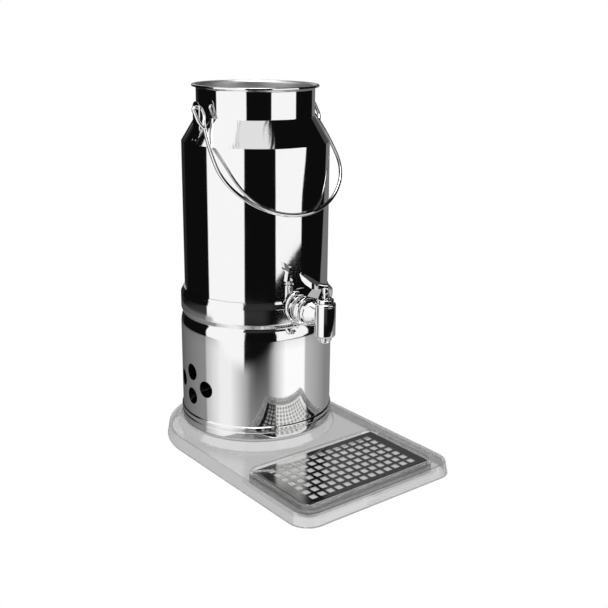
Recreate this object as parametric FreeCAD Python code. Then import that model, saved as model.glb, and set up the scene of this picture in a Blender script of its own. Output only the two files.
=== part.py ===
import FreeCAD, Part
import math
import os

# Countertop can dispenser: an open milk can of about five litres with a bail handle and a lever tap,
# lifted out of a polished stand that sits on a clear base tray with a drip grid.
# Millimetres, +Z up. The pieces are laid out round the axis of the can with the tap along -Y; they are
# moved back at the end, so that the origin is on the table in the middle of the base tray's footprint.

V = FreeCAD.Vector
ORIGIN = V(0, 0, 0)
X_AXIS = V(1, 0, 0)
Y_AXIS = V(0, 1, 0)
Z_AXIS = V(0, 0, 1)

# Base tray
TRAY_HALF_WIDTH_TOP = 109.8
TRAY_HALF_WIDTH_FOOT = 112.4
TRAY_FRONT_TOP = 237.5
TRAY_FRONT_FOOT = 239.6
TRAY_TOP = 15.7
TRAY_WALL = 3.0
TRAY_CORNER = 24.0
TRAY_EDGE_ROUND = 2.4
PLINTH_FOOT_RADIUS = 98.2
PLINTH_TOP_RADIUS = 94.0
PLINTH_TOP = 26.0
PLINTH_BOSS_RADIUS = 89.6
PLINTH_BOSS_TOP = 29.0
AXIS_BACK = (TRAY_FRONT_FOOT - TRAY_HALF_WIDTH_FOOT) / 2

# Recess for the drip grid
RECESS_HALF_WIDTH = 93.0
RECESS_BACK = 113.0
RECESS_FRONT = 220.5
RECESS_CORNER = 12.0
RECESS_FLOOR_TOP = 5.0
RECESS_FLOOR_UNDERSIDE = 2.5

# Drip grid
GRID_HALF_WIDTH = 89.4
GRID_BACK = 116.7
GRID_FRONT = 216.7
GRID_CORNER = 3.0
GRID_TOP = 13.9
GRID_SHEET = 1.0
GRID_COLUMNS = 13
GRID_ROWS = 7
GRID_PITCH_X = 12.0
GRID_PITCH_Y = 12.4
GRID_FIRST_ROW = 130.4
GRID_HOLE = 8.2
GRID_HOLE_ROUND = 0.8

# Stand
SHEET = 1.0
STAND_RADIUS = 91.7
STAND_FOOT_RADIUS = 93.1
STAND_NECK_RADIUS = 88.5
STAND_NECK_LOW = 160.0
STAND_NECK_HIGH = 166.0
STAND_SHOULDER_LOW = 149.5
STAND_SHOULDER_MIDDLE = 156.0
STAND_SHOULDER_DROP = 1.1
FOOT_BEAD_TOP = 41.2
FOOT_BEAD_LOW = 36.8
FOOT_GROOVE_LOW = 34.8
FOOT_GROOVE_RADIUS = 91.9
VENT_RADIUS = 10.2
VENT_MIDDLE_HEIGHT = 81.0
VENT_STEP_UP = 15.2
VENT_STEP_ROUND_DEG = 16.2
VENT_MIDDLE_DEG = 177.5

# Collar
COLLAR_RADIUS = 91.3
COLLAR_LOW = 161.8
COLLAR_SHOULDER = 184.8
COLLAR_TOP = 192.5
COLLAR_LIP_RADIUS = 87.9
SCOOP_RADIUS = 23.5
SCOOP_HEIGHT = 187.5
SCOOP_HALF_WIDTH = 24.5
SCOOP_RIM = 1.6

# Ledge in the stand that carries the can
LEDGE_TOP = 152.0
LEDGE_INNER = 72.0
LEDGE_SHEET = 1.2

# Can
CAN_SHEET = 0.8
CAN_RADIUS = 86.5
CAN_BOTTOM = 152.0
CAN_SHOULDER_LOW = 365.6
CAN_SHOULDER_HIGH = 395.0
CAN_NECK_RADIUS = 68.6
CAN_RIM_RADIUS = 73.4
CAN_RIM_TOP = 429.6
CAN_RIM_DEPTH = 2.6

# Handle ears
EAR_SHEET = 1.2
EAR_LEAF_INNER = 79.9
EAR_HALF_WIDTH = 6.4
EAR_FOOT_LOW = 367.6
EAR_FOOT_HIGH = 377.0
PIVOT_HEIGHT = 406.5
PIVOT_HOLE_RADIUS = 2.05

# Bail handle, laid out in its own plane: x across, s away from the pivot line
WIRE_RADIUS = 2.0
BAIL_HALF_WIDTH = 85.3
BAIL_REACH = 145.5
BAIL_BOTTOM_RADIUS = 92.0
BAIL_CORNER_RADIUS = 60.0
BAIL_LEG_RADIUS = 230.0
BAIL_LEG_LEAN_DEG = 12.4
EYE_LEAN_DEG = 32.0
EYE_BEND_OUT = 22.0
EYE_BEND_BACK = 16.0
EYE_TURN_RADIUS = 4.0
EYE_PIN_LENGTH = 2.7
EYE_OUTER_LENGTH = 10.0
EYE_CLOSING_RADIUS = 20.0
EYE_CLOSING_DEG = 28.0
EYE_CLOSING_TAIL = 4.2

# Tap, turned about its own axis: distances are measured outwards from the axis of the can
TAP_HEIGHT = 181.5
TAP_HOLE_RADIUS = 9.1
SHANK_RADIUS = 9.0
SHANK_INNER_END = 66.0
INLET_BORE_RADIUS = 5.5
SADDLE_RADIUS = 24.0
SADDLE_SHEET = 0.7
SADDLE_HUB_RADIUS = 16.0
SADDLE_HUB_END = 90.0
SEAL_RADIUS = 13.0
OUTER_SEAL_END = 91.5
INNER_SEAL_INNER_END = 81.5
LOCK_NUT_INNER_END = 74.5
LOCK_NUT_ACROSS_CORNERS = 30.0
NECK_RADIUS = 12.5
NECK_GROOVE_RADIUS = 11.4
RING_NUT_START = 94.5
RING_NUT_END = 102.6
RING_NUT_RADIUS = 17.2
BARREL_START = 103.2
BARREL_RADIUS = 14.8
BARREL_END = 127.0

# Spout cylinder
SPOUT_OUT = 132.5
SPOUT_RADIUS = 11.9
SPOUT_BOTTOM = 160.5
SPOUT_TOP = 195.9
SPOUT_CHAMFER = 1.6
VALVE_BORE_RADIUS = 8.0
VALVE_SEAT_HEIGHT = 168.0
OUTLET_RADIUS = 4.2
NOZZLE_RADIUS = 6.8
NOZZLE_BOTTOM = 153.4
NOZZLE_GRIP_RADIUS = 7.7
NOZZLE_GRIP_LOW = 156.0
NOZZLE_GRIP_TEETH = 22
NOZZLE_SPIGOT_RADIUS = 5.6
NOZZLE_SPIGOT_TOP = 164.5

# Bonnet, stem, spring and lever
BONNET_PLUG_RADIUS = 7.95
BONNET_PLUG_LOW = 189.5
BONNET_TOP = 199.6
BONNET_HUB_RADIUS = 5.6
BONNET_HUB_TOP = 203.2
SWIVEL_RADIUS = 9.5
SWIVEL_LOW = 199.7
SWIVEL_TOP = 203.9
STEM_RADIUS = 3.0
STEM_WAIST_RADIUS = 3.5
STEM_TOP_RADIUS = 4.1
STEM_TOP = 217.4
STEM_COLLAR_LOW = 204.4
STEM_BEAD_LOW = 209.4
STEM_BEAD_HIGH = 210.6
STEM_FLAT_OFFSET = 2.0
STEM_HEAD_RADIUS = 6.4
STEM_HEAD_LOW = 170.4
STEM_HEAD_TOP = 173.0
VALVE_SEAL_RADIUS = 6.9
RING_GROOVE_MIDDLE = 193.0
RING_SECTION_RADIUS = 1.2
SPRING_WIRE_RADIUS = 0.5
SPRING_RADIUS = 5.2
SPRING_TURNS = 6
LEVER_DIRECTION_DEG = 134.0
LEVER_PIN_HEIGHT = 214.0
LEVER_PIN_RADIUS = 1.5
LEVER_PIN_DEPTH = 2.4
LEVER_CHEEK_OUTER = 5.4
LEVER_DRAFT_DEG = -11.0
RUNNING_FIT = 0.05


def rounded_outline(corners, plane="xz"):
    """Closed wire through (a, b, rounding) corners, in the XZ or the XY plane."""
    def place(a, b):
        return V(a, 0, b) if plane == "xz" else V(a, b, 0)

    starts = []
    middles = []
    ends = []
    count = len(corners)
    for index, (a, b, rounding) in enumerate(corners):
        here = place(a, b)
        if rounding == 0:
            starts.append(here)
            middles.append(None)
            ends.append(here)
            continue
        before = place(*corners[index - 1][:2])
        after = place(*corners[(index + 1) % count][:2])
        back = (before - here).normalize()
        ahead = (after - here).normalize()
        half_angle = back.getAngle(ahead) / 2
        reach = rounding / math.tan(half_angle)
        inward = (back + ahead).normalize()
        starts.append(here + back * reach)
        middles.append(here + inward * (rounding / math.sin(half_angle) - rounding))
        ends.append(here + ahead * reach)
    edges = []
    for index in range(count):
        if middles[index] is not None:
            edges.append(Part.Arc(starts[index], middles[index], ends[index]).toShape())
        following = starts[(index + 1) % count]
        if (following - ends[index]).Length > 1e-6:
            edges.append(Part.makeLine(ends[index], following))
    return Part.Wire(edges)


def spin(corners, degrees=360.0):
    """Solid turned about the vertical axis from (radius, height, rounding) corners."""
    return Part.Face(rounded_outline(corners)).revolve(ORIGIN, Z_AXIS, degrees)


def spin_on_tap_axis(corners):
    """Solid turned about the tap's horizontal axis from (radius, distance out, rounding) corners."""
    solid = spin(corners)
    solid.rotate(ORIGIN, X_AXIS, 90)
    solid.translate(V(0, 0, TAP_HEIGHT))
    return solid


def spin_on_spout_axis(corners):
    """Solid turned about the spout's vertical axis from (radius, height, rounding) corners."""
    solid = spin(corners)
    solid.translate(V(0, -SPOUT_OUT, 0))
    return solid


def upright(radius, low, high, out=0.0):
    return Part.makeCylinder(radius, high - low, V(0, -out, low), Z_AXIS)


def along_tap(radius, start, end, height=TAP_HEIGHT):
    return Part.makeCylinder(radius, end - start, V(0, -start, height), V(0, -1, 0))


def centred_box(half_x, low_y, high_y, low_z, high_z):
    return Part.makeBox(2 * half_x, high_y - low_y, high_z - low_z, V(-half_x, low_y, low_z))


def mirrored_left(solid):
    return solid.mirror(ORIGIN, X_AXIS)


# ---------------------------------------------------------------- base tray and drip grid

def tray_outline(half_width, front, corner, height):
    """Plan of the tray: half circle round the can axis at the back, rounded corners in front."""
    near = -(front - corner)
    diagonal = corner * math.sqrt(0.5)
    inset = half_width - corner
    edges = [
        Part.Arc(V(half_width, 0, 0), V(0, half_width, 0), V(-half_width, 0, 0)).toShape(),
        Part.makeLine(V(-half_width, 0, 0), V(-half_width, near, 0)),
        Part.Arc(V(-half_width, near, 0),
                 V(-inset - diagonal, near - diagonal, 0),
                 V(-inset, -front, 0)).toShape(),
        Part.makeLine(V(-inset, -front, 0), V(inset, -front, 0)),
        Part.Arc(V(inset, -front, 0),
                 V(inset + diagonal, near - diagonal, 0),
                 V(half_width, near, 0)).toShape(),
        Part.makeLine(V(half_width, near, 0), V(half_width, 0, 0)),
    ]
    wire = Part.Wire(edges)
    wire.translate(V(0, 0, height))
    return wire


def rounded_slab(half_width, back, front, corner, low, high):
    corners = [
        (-half_width, -back, corner),
        (-half_width, -front, corner),
        (half_width, -front, corner),
        (half_width, -back, corner),
    ]
    slab = Part.Face(rounded_outline(corners, "xy")).extrude(V(0, 0, high - low))
    slab.translate(V(0, 0, low))
    return slab


def edges_at_height(solid, height):
    return [edge for edge in solid.Edges
            if abs(edge.BoundBox.ZMin - height) < 1e-4 and abs(edge.BoundBox.ZMax - height) < 1e-4]


def make_base_tray():
    outside = Part.makeLoft([
        tray_outline(TRAY_HALF_WIDTH_FOOT, TRAY_FRONT_FOOT, TRAY_CORNER, 0),
        tray_outline(TRAY_HALF_WIDTH_TOP, TRAY_FRONT_TOP, TRAY_CORNER, TRAY_TOP),
    ], True)
    outside = outside.makeFillet(TRAY_EDGE_ROUND, edges_at_height(outside, TRAY_TOP))
    inside = Part.makeLoft([
        tray_outline(TRAY_HALF_WIDTH_FOOT - TRAY_WALL, TRAY_FRONT_FOOT - TRAY_WALL,
                     TRAY_CORNER - TRAY_WALL, -1),
        tray_outline(TRAY_HALF_WIDTH_TOP - TRAY_WALL, TRAY_FRONT_TOP - TRAY_WALL,
                     TRAY_CORNER - TRAY_WALL, TRAY_TOP - TRAY_WALL),
    ], True)
    plinth = spin([
        (0, 0, 0),
        (PLINTH_FOOT_RADIUS, 0, 0),
        (PLINTH_FOOT_RADIUS, TRAY_TOP, 0),
        (PLINTH_TOP_RADIUS, PLINTH_TOP, 1.2),
        (PLINTH_BOSS_RADIUS, PLINTH_TOP, 0),
        (PLINTH_BOSS_RADIUS - 0.4, PLINTH_BOSS_TOP, 0.8),
        (0, PLINTH_BOSS_TOP, 0),
    ])
    plinth_hollow = spin([
        (0, -1, 0),
        (PLINTH_FOOT_RADIUS - TRAY_WALL, -1, 0),
        (PLINTH_FOOT_RADIUS - TRAY_WALL, TRAY_TOP - TRAY_WALL / 2, 0),
        (PLINTH_TOP_RADIUS - TRAY_WALL, PLINTH_TOP - TRAY_WALL, 1.0),
        (PLINTH_BOSS_RADIUS - TRAY_WALL, PLINTH_TOP - TRAY_WALL, 0),
        (PLINTH_BOSS_RADIUS - TRAY_WALL, PLINTH_BOSS_TOP - TRAY_WALL, 0.8),
        (0, PLINTH_BOSS_TOP - TRAY_WALL, 0),
    ])
    shell = outside.fuse(plinth).cut(inside).cut(plinth_hollow)
    basin = rounded_slab(RECESS_HALF_WIDTH + TRAY_WALL, RECESS_BACK - TRAY_WALL, RECESS_FRONT + TRAY_WALL,
                         RECESS_CORNER + TRAY_WALL, RECESS_FLOOR_UNDERSIDE, TRAY_TOP - 1)
    cavity = rounded_slab(RECESS_HALF_WIDTH, RECESS_BACK, RECESS_FRONT, RECESS_CORNER,
                          RECESS_FLOOR_TOP, TRAY_TOP + 1)
    tray = shell.fuse(basin).cut(cavity).removeSplitter()
    mouth = [edge for edge in edges_at_height(tray, TRAY_TOP)
             if edge.BoundBox.YMax < -RECESS_BACK + 1 and edge.BoundBox.YMin > -RECESS_FRONT - 1
             and edge.BoundBox.XMax < RECESS_HALF_WIDTH + 1 and edge.BoundBox.XMin > -RECESS_HALF_WIDTH - 1]
    return tray.makeFillet(1.5, mouth)


def make_drip_grid():
    outside = rounded_slab(GRID_HALF_WIDTH, GRID_BACK, GRID_FRONT, GRID_CORNER, RECESS_FLOOR_TOP, GRID_TOP)
    outside = outside.makeFillet(GRID_SHEET * 1.2, edges_at_height(outside, GRID_TOP))
    inside = rounded_slab(GRID_HALF_WIDTH - GRID_SHEET, GRID_BACK + GRID_SHEET, GRID_FRONT - GRID_SHEET,
                          GRID_CORNER - GRID_SHEET, RECESS_FLOOR_TOP - 1, GRID_TOP - GRID_SHEET)
    punches = []
    for column in range(GRID_COLUMNS):
        x = (column - (GRID_COLUMNS - 1) / 2) * GRID_PITCH_X
        for row in range(GRID_ROWS):
            y = -(GRID_FIRST_ROW + row * GRID_PITCH_Y)
            punch = rounded_slab(GRID_HOLE / 2, -GRID_HOLE / 2, GRID_HOLE / 2, GRID_HOLE_ROUND,
                                 GRID_TOP - 2 * GRID_SHEET, GRID_TOP + 1)
            punch.translate(V(x, y, 0))
            punches.append(punch)
    return outside.cut(inside).cut(Part.makeCompound(punches))


# ---------------------------------------------------------------- stand

def tap_scoop():
    """Opening that lets the tap lift straight up out of the stand."""
    round_part = along_tap(SCOOP_RADIUS, CAN_RADIUS / 2, CAN_RADIUS + 20, SCOOP_HEIGHT)
    open_part = centred_box(SCOOP_HALF_WIDTH, -CAN_RADIUS - 20, -CAN_RADIUS / 2, SCOOP_HEIGHT, COLLAR_TOP + 5)
    return round_part.fuse(open_part)


def make_stand_shell():
    inner = STAND_RADIUS - SHEET
    shell = spin([
        (inner, PLINTH_TOP, 0),
        (STAND_FOOT_RADIUS - 0.6, PLINTH_TOP, 0),
        (STAND_FOOT_RADIUS, PLINTH_TOP + 1.6, 1.0),
        (STAND_FOOT_RADIUS, FOOT_GROOVE_LOW, 0.8),
        (FOOT_GROOVE_RADIUS, FOOT_GROOVE_LOW + 0.8, 0.3),
        (FOOT_GROOVE_RADIUS, FOOT_BEAD_LOW - 0.8, 0.3),
        (STAND_FOOT_RADIUS, FOOT_BEAD_LOW, 0.8),
        (STAND_FOOT_RADIUS, FOOT_BEAD_TOP, 1.2),
        (STAND_RADIUS, FOOT_BEAD_TOP + 1.2, 0.4),
        (STAND_RADIUS, STAND_SHOULDER_LOW, 28.0),
        (STAND_RADIUS - STAND_SHOULDER_DROP, STAND_SHOULDER_MIDDLE, 18.0),
        (STAND_NECK_RADIUS, STAND_NECK_LOW + 0.5, 0.6),
        (STAND_NECK_RADIUS, STAND_NECK_HIGH, 0),
        (STAND_NECK_RADIUS - SHEET, STAND_NECK_HIGH, 0),
        (STAND_NECK_RADIUS - SHEET, STAND_NECK_LOW + 0.1, 0.6),
        (inner - STAND_SHOULDER_DROP, STAND_SHOULDER_MIDDLE - 0.3, 17.0),
        (inner, STAND_SHOULDER_LOW, 27.0),
    ])
    vents = []
    for side in (1, -1):
        for step_round, step_up in ((0, 1), (0, -1), (1, 0), (-1, 0)):
            angle = math.radians(VENT_MIDDLE_DEG + step_round * VENT_STEP_ROUND_DEG)
            direction = V(-side * math.cos(angle), math.sin(angle), 0)
            foot = V(0, 0, VENT_MIDDLE_HEIGHT + step_up * VENT_STEP_UP)
            vents.append(Part.makeCylinder(VENT_RADIUS, STAND_RADIUS + 10, foot, direction))
    return shell.cut(Part.makeCompound(vents)).cut(tap_scoop())


def make_stand_collar():
    bore = STAND_NECK_RADIUS + RUNNING_FIT
    ring = spin([
        (bore, COLLAR_LOW, 0),
        (bore + 0.9, COLLAR_LOW, 0.4),
        (COLLAR_RADIUS, COLLAR_LOW + 5.0, 4.0),
        (COLLAR_RADIUS, COLLAR_SHOULDER, 0.8),
        (COLLAR_LIP_RADIUS + 0.9, COLLAR_TOP - 2.2, 1.2),
        (COLLAR_LIP_RADIUS, COLLAR_TOP, 0),
        (COLLAR_LIP_RADIUS - SHEET, COLLAR_TOP, 0),
        (COLLAR_LIP_RADIUS - SHEET, COLLAR_TOP - 2.6, 1.2),
        (COLLAR_RADIUS - SHEET, COLLAR_SHOULDER - 0.6, 0.6),
        (COLLAR_RADIUS - SHEET, COLLAR_LOW + 5.4, 3.0),
        (bore, COLLAR_LOW + 2.0, 0),
    ])
    band = spin([
        (COLLAR_RADIUS - SHEET, COLLAR_LOW + 3, 0),
        (COLLAR_RADIUS + 0.7, COLLAR_LOW + 3, 0),
        (COLLAR_RADIUS + 0.7, COLLAR_SHOULDER, 0),
        (COLLAR_RADIUS - SHEET, COLLAR_SHOULDER, 0),
    ])
    rim = along_tap(SCOOP_RADIUS + SCOOP_RIM, CAN_RADIUS / 2, CAN_RADIUS + 20, SCOOP_HEIGHT).common(band)
    return ring.fuse(rim).cut(tap_scoop()).removeSplitter()


def make_can_rest_ring():
    outer = STAND_RADIUS - SHEET - RUNNING_FIT
    under = LEDGE_TOP - LEDGE_SHEET
    return spin([
        (outer, 128.0, 0),
        (outer, 143.0, 2.0),
        (outer - 5.0, LEDGE_TOP, 1.5),
        (LEDGE_INNER, LEDGE_TOP, 0.5),
        (LEDGE_INNER, under, 0.5),
        (outer - 5.7, under, 1.0),
        (outer - LEDGE_SHEET, 142.6, 1.0),
        (outer - LEDGE_SHEET, 128.0, 0),
    ])


# ---------------------------------------------------------------- can, ears and bail handle

def make_can():
    wall = CAN_RADIUS - CAN_SHEET
    neck = CAN_NECK_RADIUS - CAN_SHEET
    slope = CAN_SHEET * 0.55
    rim_low = CAN_RIM_TOP - CAN_RIM_DEPTH
    can = spin([
        (0, CAN_BOTTOM, 0),
        (CAN_RADIUS, CAN_BOTTOM, 5.0),
        (CAN_RADIUS, CAN_SHOULDER_LOW, 2.0),
        (CAN_NECK_RADIUS, CAN_SHOULDER_HIGH, 2.5),
        (CAN_NECK_RADIUS, rim_low - 1.0, 1.8),
        (CAN_RIM_RADIUS, rim_low, 0.6),
        (CAN_RIM_RADIUS, CAN_RIM_TOP, 1.2),
        (CAN_RIM_RADIUS - 3.0, CAN_RIM_TOP, 1.2),
        (neck, rim_low + 0.3, 2.0),
        (neck, CAN_SHOULDER_HIGH + slope - CAN_SHEET, 2.5),
        (wall, CAN_SHOULDER_LOW + slope - CAN_SHEET, 2.0),
        (wall, CAN_BOTTOM + CAN_SHEET, 4.2),
        (0, CAN_BOTTOM + CAN_SHEET, 0),
    ])
    return can.cut(along_tap(TAP_HOLE_RADIUS, CAN_RADIUS - 20, CAN_RADIUS + 10))


def shoulder_radius(height):
    climb = (CAN_SHOULDER_HIGH - height) / (CAN_SHOULDER_HIGH - CAN_SHOULDER_LOW)
    return CAN_NECK_RADIUS + climb * (CAN_RADIUS - CAN_NECK_RADIUS)


def make_right_ear():
    """Lug bent from sheet: a foot welded to the shoulder and an upright leaf with the pivot hole."""
    through = EAR_SHEET / math.cos(math.atan2(CAN_RADIUS - CAN_NECK_RADIUS, CAN_SHOULDER_HIGH - CAN_SHOULDER_LOW))
    width = EAR_HALF_WIDTH
    foot = spin([
        (shoulder_radius(EAR_FOOT_LOW) + 0.02, EAR_FOOT_LOW, 0),
        (shoulder_radius(EAR_FOOT_LOW) + through, EAR_FOOT_LOW, 0),
        (shoulder_radius(EAR_FOOT_HIGH) + through, EAR_FOOT_HIGH, 0),
        (shoulder_radius(EAR_FOOT_HIGH) + 0.02, EAR_FOOT_HIGH, 0),
    ], 40)
    foot.rotate(ORIGIN, Z_AXIS, -20)
    foot = foot.common(Part.makeBox(EAR_LEAF_INNER + EAR_SHEET, 2 * width, 30, V(CAN_NECK_RADIUS, -width, 360)).fuse(
        Part.makeBox(20, 2 * width, EAR_FOOT_HIGH - 362, V(EAR_LEAF_INNER, -width, 360))))
    leaf = Part.Face(rounded_outline([
        (-width, EAR_FOOT_LOW, 0),
        (width, EAR_FOOT_LOW, 0),
        (width, PIVOT_HEIGHT + width, width * 0.9),
        (-width, PIVOT_HEIGHT + width, width * 0.9),
    ])).extrude(V(0, EAR_SHEET, 0))
    leaf.rotate(ORIGIN, Z_AXIS, -90)
    leaf.translate(V(EAR_LEAF_INNER, 0, 0))
    shoulder = spin([
        (0, CAN_SHOULDER_LOW, 0),
        (CAN_RADIUS + 0.02, CAN_SHOULDER_LOW, 0),
        (CAN_NECK_RADIUS + 0.02, CAN_SHOULDER_HIGH, 0),
        (0, CAN_SHOULDER_HIGH, 0),
    ])
    hole = Part.makeCylinder(PIVOT_HOLE_RADIUS, 30, V(60, 0, PIVOT_HEIGHT), X_AXIS)
    return leaf.cut(shoulder).fuse(foot).cut(hole).removeSplitter()


def bail_tilt():
    """Angle from hanging straight down at which the wire comes to rest against the can."""
    return math.asin((CAN_RADIUS + WIRE_RADIUS + 0.2) / BAIL_REACH)


def bend(start, heading_deg, radius, turn_deg):
    """Arc in the bail's plane from a point; headings turn from towards the pivot (0) to outwards (90)."""
    sign = 1 if turn_deg > 0 else -1
    first = math.radians(heading_deg)
    centre = start + V(math.cos(first), 0, -math.sin(first)) * (radius * sign)
    points = [start]
    for share in (0.5, 1.0):
        angle = math.radians(heading_deg + share * turn_deg)
        points.append(centre - V(math.cos(angle), 0, -math.sin(angle)) * (radius * sign))
    return Part.Arc(*points).toShape(), points[2], heading_deg + turn_deg


def straight(start, heading_deg, length):
    angle = math.radians(heading_deg)
    end = start + V(math.sin(angle), 0, math.cos(angle)) * length
    return Part.makeLine(start, end), end


def make_bail():
    """Wire bail: every leg ends in an eye that passes through the hole of its ear and closes on the leg."""
    spread = BAIL_BOTTOM_RADIUS - BAIL_CORNER_RADIUS
    join = math.degrees(math.asin((BAIL_HALF_WIDTH - BAIL_CORNER_RADIUS) / spread))
    half_bottom, at, heading = bend(V(0, 0, -BAIL_REACH), 90, BAIL_BOTTOM_RADIUS, -join)
    corner, at, heading = bend(at, heading, BAIL_CORNER_RADIUS, -(90 - join))
    leg, at, heading = bend(at, heading, BAIL_LEG_RADIUS, -BAIL_LEG_LEAN_DEG)
    bend_out, at, heading = bend(at, heading, EYE_BEND_OUT, -(EYE_LEAN_DEG - BAIL_LEG_LEAN_DEG))
    bend_back, at, heading = bend(at, heading, EYE_BEND_BACK, EYE_LEAN_DEG)
    inner_strand, at = straight(at, heading, -at.z - EYE_TURN_RADIUS)
    turn_in, at, heading = bend(at, heading, EYE_TURN_RADIUS, 90)
    pin, pin_end = straight(at, heading, EYE_PIN_LENGTH)
    right = [half_bottom, corner, leg, bend_out, bend_back, inner_strand, turn_in, pin]
    left = [mirrored_left(edge) for edge in right]
    path = Part.Wire(Part.__sortEdges__(left + right))
    section = Part.Wire(Part.makeCircle(WIRE_RADIUS, V(-pin_end.x, 0, 0), X_AXIS))
    bail = path.makePipeShell([section], True, False)

    turn_out, at, heading = bend(pin_end, 90, EYE_TURN_RADIUS, 90)
    outer_strand, at = straight(at, heading, EYE_OUTER_LENGTH)
    closing, at, heading = bend(at, heading, EYE_CLOSING_RADIUS, EYE_CLOSING_DEG)
    tail, at = straight(at, heading, EYE_CLOSING_TAIL)
    closing_path = Part.Wire([turn_out, outer_strand, closing, tail])
    section = Part.Wire(Part.makeCircle(WIRE_RADIUS, pin_end, X_AXIS))
    right_end = closing_path.makePipeShell([section], True, False)
    bail = bail.fuse(right_end).fuse(mirrored_left(right_end)).removeSplitter()
    bail.rotate(ORIGIN, X_AXIS, -math.degrees(bail_tilt()))
    bail.translate(V(0, 0, PIVOT_HEIGHT))
    return bail


# ---------------------------------------------------------------- tap

def make_saddle_plate():
    skin = upright(CAN_RADIUS + SADDLE_SHEET, 120, 240).cut(upright(CAN_RADIUS, 110, 250))
    plate = along_tap(SADDLE_RADIUS, 60, 110).common(skin)
    hub = along_tap(SADDLE_HUB_RADIUS, 60, SADDLE_HUB_END).cut(upright(CAN_RADIUS, 110, 250))
    hub = hub.makeFillet(1.2, [edge for edge in hub.Edges if edge.BoundBox.YMax < -SADDLE_HUB_END + 0.01])
    return plate.fuse(hub).cut(along_tap(SHANK_RADIUS + RUNNING_FIT, 50, 110)).removeSplitter()


def washer(outer, inner, start, end, rounding=0.0):
    return spin_on_tap_axis([
        (inner, start, 0),
        (outer, start, rounding),
        (outer, end, rounding),
        (inner, end, 0),
    ])


def make_outer_seal():
    return washer(SEAL_RADIUS, SHANK_RADIUS + RUNNING_FIT, SADDLE_HUB_END, OUTER_SEAL_END, 0.4)


def make_inner_seal():
    block = washer(SEAL_RADIUS, SHANK_RADIUS + RUNNING_FIT, INNER_SEAL_INNER_END, CAN_RADIUS)
    return block.common(upright(CAN_RADIUS - CAN_SHEET, 120, 240))


def make_lock_nut():
    corners = LOCK_NUT_ACROSS_CORNERS / 2
    points = []
    for side in range(7):
        angle = math.radians(60 * side)
        points.append(V(corners * math.cos(angle), 0, corners * math.sin(angle)))
    height = INNER_SEAL_INNER_END - LOCK_NUT_INNER_END
    nut = Part.Face(Part.makePolygon(points)).extrude(V(0, height, 0))
    nut.translate(V(0, -INNER_SEAL_INNER_END, TAP_HEIGHT))
    chamfered = spin_on_tap_axis([
        (0, LOCK_NUT_INNER_END, 0),
        (corners - 1.2, LOCK_NUT_INNER_END, 0),
        (corners, LOCK_NUT_INNER_END + 0.9, 0),
        (corners, INNER_SEAL_INNER_END, 0),
        (0, INNER_SEAL_INNER_END, 0),
    ])
    bore = along_tap(SHANK_RADIUS + RUNNING_FIT, 50, 110)
    return nut.common(chamfered).cut(bore)


def make_ring_nut():
    return spin_on_tap_axis([
        (NECK_GROOVE_RADIUS + RUNNING_FIT, RING_NUT_START, 0),
        (RING_NUT_RADIUS - 2.0, RING_NUT_START, 0.8),
        (RING_NUT_RADIUS, RING_NUT_START + 2.2, 1.2),
        (RING_NUT_RADIUS, RING_NUT_END - 1.6, 1.2),
        (RING_NUT_RADIUS - 1.4, RING_NUT_END, 0.5),
        (NECK_GROOVE_RADIUS + RUNNING_FIT, RING_NUT_END, 0),
    ])


def make_tap_body():
    barrel = spin_on_tap_axis([
        (0, SHANK_INNER_END, 0),
        (SHANK_RADIUS, SHANK_INNER_END, 0.8),
        (SHANK_RADIUS, OUTER_SEAL_END, 0),
        (NECK_RADIUS, OUTER_SEAL_END, 0.6),
        (NECK_RADIUS, RING_NUT_START, 0.4),
        (NECK_GROOVE_RADIUS, RING_NUT_START, 0),
        (NECK_GROOVE_RADIUS, BARREL_START, 0),
        (BARREL_RADIUS - 1.6, BARREL_START, 0.6),
        (BARREL_RADIUS, BARREL_START + 2.0, 1.2),
        (BARREL_RADIUS, BARREL_START + 8.0, 6.0),
        (BARREL_RADIUS - 4.4, BARREL_START + 17.5, 6.0),
        (BARREL_RADIUS - 6.4, BARREL_END, 0),
        (0, BARREL_END, 0),
    ])
    cylinder = spin_on_spout_axis([
        (0, SPOUT_BOTTOM, 0),
        (SPOUT_RADIUS - SPOUT_CHAMFER, SPOUT_BOTTOM, 0.4),
        (SPOUT_RADIUS, SPOUT_BOTTOM + SPOUT_CHAMFER, 1.0),
        (SPOUT_RADIUS, SPOUT_TOP, 0.3),
        (0, SPOUT_TOP, 0),
    ])
    body = barrel.fuse(cylinder)
    body = body.cut(along_tap(INLET_BORE_RADIUS, SHANK_INNER_END - 1, SPOUT_OUT))
    body = body.cut(upright(VALVE_BORE_RADIUS, VALVE_SEAT_HEIGHT, SPOUT_TOP + 1, SPOUT_OUT))
    body = body.cut(upright(OUTLET_RADIUS, SPOUT_BOTTOM - 1, VALVE_SEAT_HEIGHT + 1, SPOUT_OUT))
    body = body.cut(upright(NOZZLE_SPIGOT_RADIUS + RUNNING_FIT, SPOUT_BOTTOM - 1, NOZZLE_SPIGOT_TOP, SPOUT_OUT))
    return body.removeSplitter()


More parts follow.
